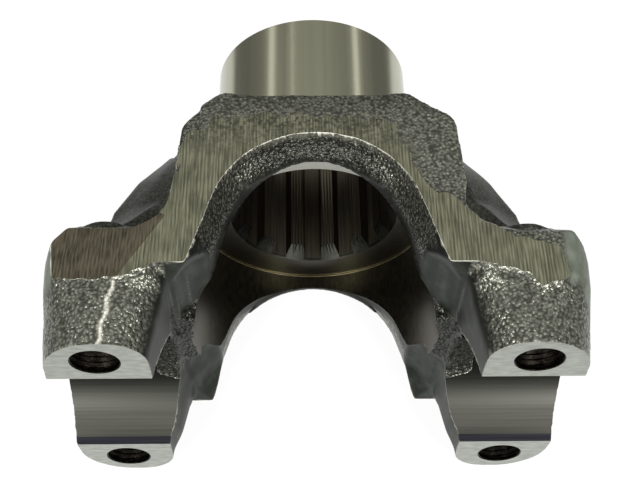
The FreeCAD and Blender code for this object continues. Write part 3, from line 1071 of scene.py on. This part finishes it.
def seen_rays(tree):
    """1 for the rays that see the background: straight on, mirrored in metal, or through glass."""
    rays = add_node(tree, "ShaderNodeLightPath")
    seen = rays.outputs["Is Camera Ray"]
    for other in ("Is Glossy Ray", "Is Transmission Ray"):
        seen = calculate(tree, "MAXIMUM", seen, rays.outputs[other])
    return seen


floor_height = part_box("yoke_flange")[0][2]
floor = mesh_object("floor", [
    (-floor_half, -floor_half, floor_height), (floor_half, -floor_half, floor_height),
    (floor_half, floor_half, floor_height), (-floor_half, floor_half, floor_height),
], [(0, 1, 2, 3)])
paper, paper_tree = new_material("white paper table")
paper_place = add_node(paper_tree, "ShaderNodeTexCoord")
settings = {"operation": "DISTANCE", 1: (0.0, 0.07, floor_height)}
links = {0: paper_place.outputs["Object"]}
paper_centre = add_node(paper_tree, "ShaderNodeVectorMath", settings, links)
paper_radius = spread(paper_tree, paper_centre.outputs["Value"], 0.0, 1.0, 0.0, floor_fade_reach)
paper_colour = ramp(paper_tree, paper_radius.outputs[0], [(0.42, "#ffffff"), (0.58, "#868684")])
settings = {"Roughness": 0.9, "Specular IOR Level": 0.2}
links = {"Base Color": paper_colour.outputs[0]}
paper_shader = add_node(paper_tree, "ShaderNodeBsdfPrincipled", settings, links)
links = {"Color": paper_colour.outputs[0]}
paper_glow = add_node(paper_tree, "ShaderNodeEmission", {"Strength": 1.0}, links)
paper_share = calculate(paper_tree, "MULTIPLY", seen_rays(paper_tree), glow_share)
paper_mix = add_node(paper_tree, "ShaderNodeMixShader", links={
    "Fac": paper_share,
    1: paper_shader.outputs[0],
    2: paper_glow.outputs[0],
})
finish_material(paper_tree, paper_mix)
floor.data.materials.append(paper)

# %% [markdown]
# The world is a light tent in greys: lightest high up, darker near the table and overhead, because
# steel looks like steel only when it has dark and light things to mirror. Three narrow strips
# above and behind the hub draw its long bright streaks, and two small lamps in front light the
# ears.

# %% World and lamps
world = bpy.data.worlds.new("light tent")
bpy.context.scene.world = world
world.use_nodes = True
sky = world.node_tree
sky.nodes.clear()
direction = add_node(sky, "ShaderNodeTexCoord")
parts = add_node(sky, "ShaderNodeSeparateXYZ", links={"Vector": direction.outputs["Generated"]})
tent_height = spread(sky, parts.outputs["Z"], 0.0, 1.0, -1.0, 1.0)
tent_colour = ramp(sky, tent_height.outputs[0], [
    (0.0, "#868684"), (0.53, "#868684"), (0.62, "#969694"),
    (0.78, "#a4a4a0"), (0.9, "#c8c8c4"), (1.0, "#8a8a88"),
])
links = {"Color": tent_colour.outputs[0]}
tent_seen = add_node(sky, "ShaderNodeBackground", {"Strength": 1.0}, links)
settings = {"Color": to_linear("#d8d8d6"), "Strength": 1.0}
tent_light = add_node(sky, "ShaderNodeBackground", settings)
tent = add_node(sky, "ShaderNodeMixShader", links={
    "Fac": seen_rays(sky),
    1: tent_light.outputs[0],
    2: tent_seen.outputs[0],
})
add_node(sky, "ShaderNodeOutputWorld", links={"Surface": tent.outputs[0]})


def soft_lamp(name, place, target, size, power):
    light = bpy.data.lights.new(name, "AREA")
    light.shape = "RECTANGLE"
    light.size, light.size_y = size
    light.energy = power
    lamp = bpy.data.objects.new(name, light)
    bpy.context.scene.collection.objects.link(lamp)
    lamp.location = place
    lamp.rotation_euler = (Vector(target) - Vector(place)).to_track_quat("-Z", "Y").to_euler()


strip_away = 0.5
strip_y = 0.465
strip_length = 0.5
for name, turn, width, power in [
    ("left_strip", -50.0, 0.07, 0.12),
    ("inner_strip", -24.0, 0.018, 0.03),
    ("right_strip", 54.0, 0.06, 0.12),
]:
    aside = strip_away * math.sin(math.radians(turn))
    height = strip_away * math.cos(math.radians(turn))
    target = (0.0, strip_y, 0.0)
    soft_lamp(name, (aside, strip_y, height), target, (strip_length, width), power)
for name, aside in (("left_front_lamp", -0.30), ("right_front_lamp", 0.30)):
    soft_lamp(name, (aside, -0.40, 0.40), (0.0, 0.02, 0.0), (0.12, 0.12), 3.5)

# %% [markdown]
# The camera looks down at the ears from the front. Its place was worked out from the photograph's
# straight edges and circles.

# %% Camera
camera_place = Vector((-0.003995, -0.080826, 0.189849))
look_down = math.radians(57.774)
look_aside = math.radians(2.521)
roll = math.radians(1.956)
lens_mm = 60.2
sensor_mm = 36.0

sight = Vector((
    math.sin(look_aside) * math.cos(look_down),
    math.cos(look_aside) * math.cos(look_down),
    -math.sin(look_down),
))
level = sight.cross(Vector((0.0, 0.0, 1.0))).normalized()
upright = level.cross(sight)
right = level * math.cos(roll) + upright * math.sin(roll)
up = upright * math.cos(roll) - level * math.sin(roll)
camera_data = bpy.data.cameras.new("photo_camera")
camera_data.lens = lens_mm
camera_data.sensor_width = sensor_mm
camera_data.clip_start = 0.005
camera = bpy.data.objects.new("photo_camera", camera_data)
bpy.context.scene.collection.objects.link(camera)
camera.matrix_world = Matrix((
    (right.x, up.x, -sight.x, camera_place.x),
    (right.y, up.y, -sight.y, camera_place.y),
    (right.z, up.z, -sight.z, camera_place.z),
    (0.0, 0.0, 0.0, 1.0),
))
bpy.context.scene.camera = camera
bpy.context.scene.view_settings.view_transform = "Standard"
